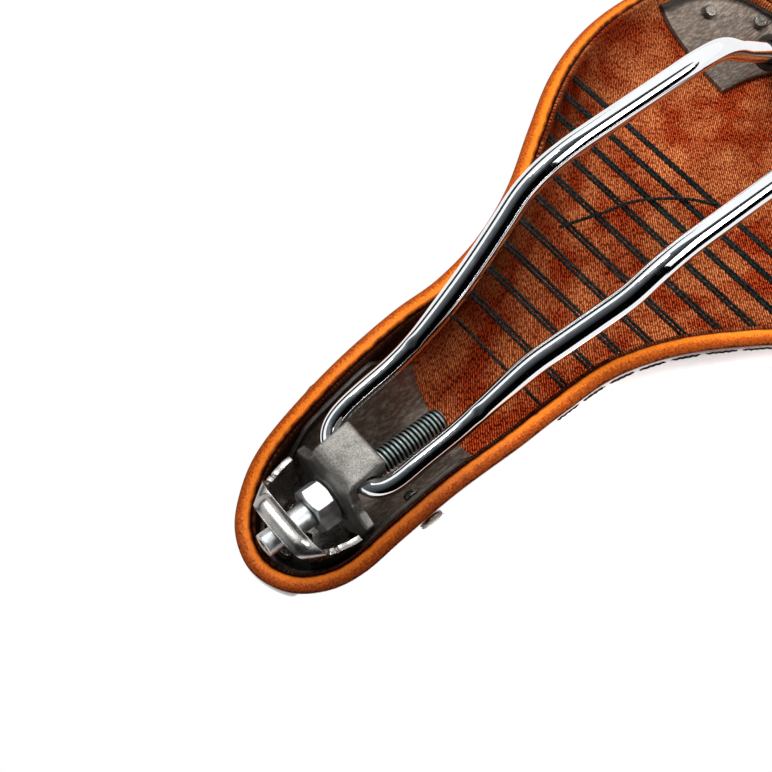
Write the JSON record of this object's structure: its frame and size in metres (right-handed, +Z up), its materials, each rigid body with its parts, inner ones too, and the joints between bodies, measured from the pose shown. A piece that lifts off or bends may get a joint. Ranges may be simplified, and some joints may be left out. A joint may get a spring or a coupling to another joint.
{
  "type": "leather bicycle saddle",
  "caption": "Leather bicycle saddle hung between a nose piece and a cantle plate on steel rails, with skirts laced underneath and a screw at the nose that tightens the leather.",
  "frame": {"origin": "middle of the seat post clamp's stretch of the rails, between the two rails on their centre lines", "axes": "+Z up through the seat, +Y from the nose to the rear, X across the saddle"},
  "size_m": [0.1704, 0.277, 0.0821],
  "materials": {
    "leather": "glossy tanned hide with an orange cut edge",
    "lining": "ribbed rust-brown cloth",
    "cord": "black braided cord",
    "chrome": "polished chrome plate",
    "forged_steel": "tumbled forged steel",
    "zinc_steel": "zinc plate",
    "pressed_steel": "bright pressed steel with sheared edges",
    "plate_steel": "brownish scratched steel plate",
    "rivet_steel": "satin steel"
  },
  "bodies": {
    "frame": {"cantle_plate": "plate_steel", "cantle_rivet_inner_left": "rivet_steel", "cantle_rivet_inner_right": "rivet_steel", "cantle_rivet_middle": "rivet_steel", "cantle_rivet_outer_left": "rivet_steel", "cantle_rivet_outer_right": "rivet_steel", "cantle_rivet_wing_left": "rivet_steel", "cantle_rivet_wing_right": "rivet_steel", "lacing_cord": "cord", "leather_cover": "leather", "lining": "lining", "rail_socket_left": "plate_steel", "rail_socket_right": "plate_steel", "rails": "chrome", "tension_shackle": "forged_steel", "tie_cord": "cord"},
    "nut": {"tension_nut": "zinc_steel"},
    "nose": {"nose_cup": "pressed_steel", "nose_plate": "plate_steel", "nose_rivet_corner_left": "rivet_steel", "nose_rivet_corner_right": "rivet_steel", "nose_rivet_front": "rivet_steel", "nose_rivet_side_left": "rivet_steel", "nose_rivet_side_right": "rivet_steel", "nose_rivet_top_left": "rivet_steel", "nose_rivet_top_right": "rivet_steel", "tension_bolt": "zinc_steel"}
  },
  "joints": [
    {"name": "nut_spin", "type": "hinge", "parent": "frame", "child": "nut", "pos_m": [0, -0.1265, 0.0527], "axis": [0, 1, 0], "range_deg": [-365, 2170]},
    {"name": "nose_tension", "type": "slide", "parent": "frame", "child": "nose", "axis": [0, -1, 0], "range_m": [-0.00141, 0.00846], "deforming": ["leather_cover", "lining", "lacing_cord", "tie_cord"]}
  ],
  "couplings": [
    {"joint": "nut_spin", "follows": "nose_tension", "rad_per_m": 4456.2}
  ]
}
